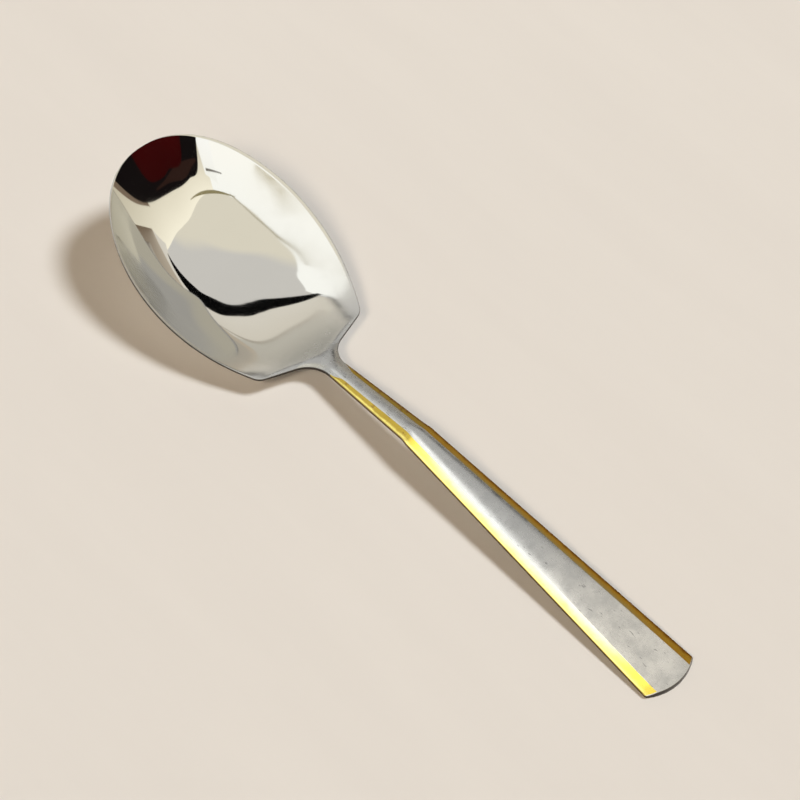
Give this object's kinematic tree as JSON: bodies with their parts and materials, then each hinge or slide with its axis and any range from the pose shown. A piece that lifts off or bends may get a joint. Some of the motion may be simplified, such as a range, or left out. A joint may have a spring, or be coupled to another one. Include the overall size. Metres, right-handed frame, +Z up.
{
  "type": "rice serving spoon",
  "caption": "Serving spoon with a deep egg-shaped bowl, a narrow neck and a flared, bevelled handle whose sides carry gold-plated borders; it scoops and serves rice.",
  "frame": {"origin": "centre of the bounding box in plan, on the table that the spoon rests on", "axes": "+X from the tip of the bowl towards the end of the handle, +Y across to the right border, +Z up from the table"},
  "size_m": [0.23, 0.0612, 0.033],
  "materials": {
    "stainless_steel": "mirror-polished bowl, satin handle face",
    "gold_plate": "bright gold electroplate"
  },
  "bodies": {
    "root": {"spoon_body": "stainless_steel", "gold_border_left": "gold_plate", "gold_border_right": "gold_plate"}
  },
  "joints": []
}
